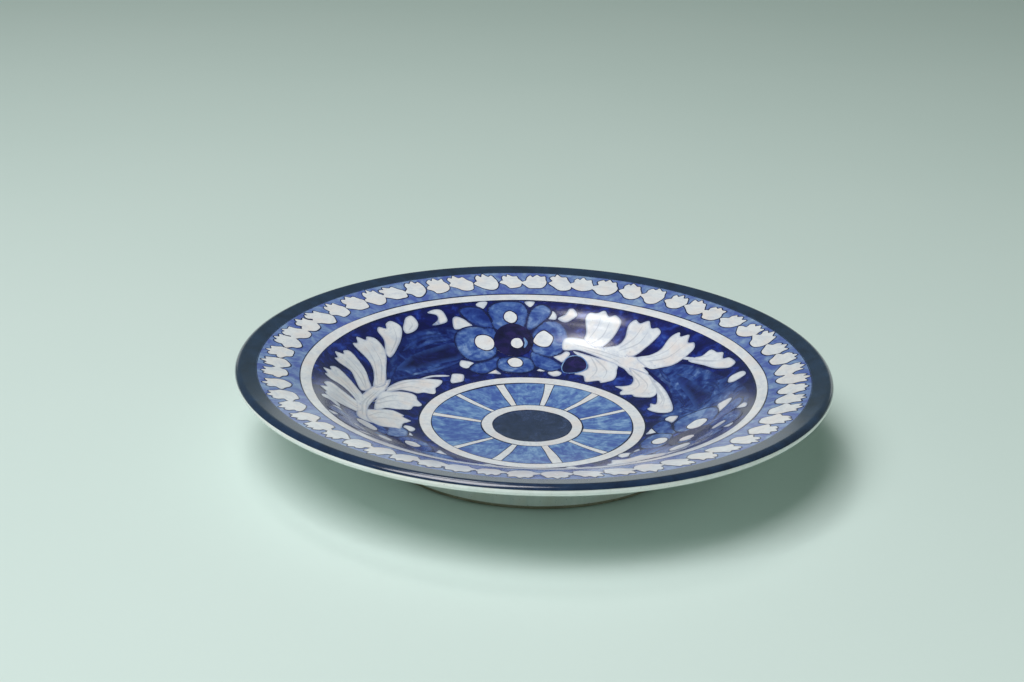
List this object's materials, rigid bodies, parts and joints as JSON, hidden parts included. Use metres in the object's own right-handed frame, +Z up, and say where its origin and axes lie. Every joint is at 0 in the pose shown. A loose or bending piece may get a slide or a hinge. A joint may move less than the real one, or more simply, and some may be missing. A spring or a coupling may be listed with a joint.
{
  "type": "ceramic plate",
  "caption": "Round hand painted ceramic plate with a deep well, a broad flange, a rounded lip and a foot ring; white, blue and cobalt bands, leaf border, flowers and a wheel-like medallion.",
  "frame": {"origin": "centre of the foot ring, on the surface that the plate stands on", "axes": "+Z up, along the plate's axis; +Y towards the far side of the painting, whose first flower is 7 degrees past +Y towards -X"},
  "size_m": [0.2397, 0.2398, 0.0365],
  "materials": {
    "clay": "matte",
    "white_glaze": "glossy",
    "dark_glaze": "glossy",
    "blue_wash": "glossy",
    "cobalt_glaze": "glossy",
    "white_paint": "glossy"
  },
  "bodies": {
    "root": {"clay_body": "clay", "foot_ring": "clay", "white_ground": "white_glaze", "back_glaze": "white_glaze", "foot_well_glaze": "white_glaze", "lip_band": "dark_glaze", "border_wash": "blue_wash", "border_leaves": "white_paint", "well_line": "white_paint", "well_wash": "cobalt_glaze", "flower_centres": "dark_glaze", "flower_petals": "blue_wash", "medallion_line": "white_paint", "medallion_panels": "blue_wash", "medallion_spokes": "white_paint", "hub_line": "white_paint", "hub_disc": "dark_glaze"}
  },
  "joints": []
}
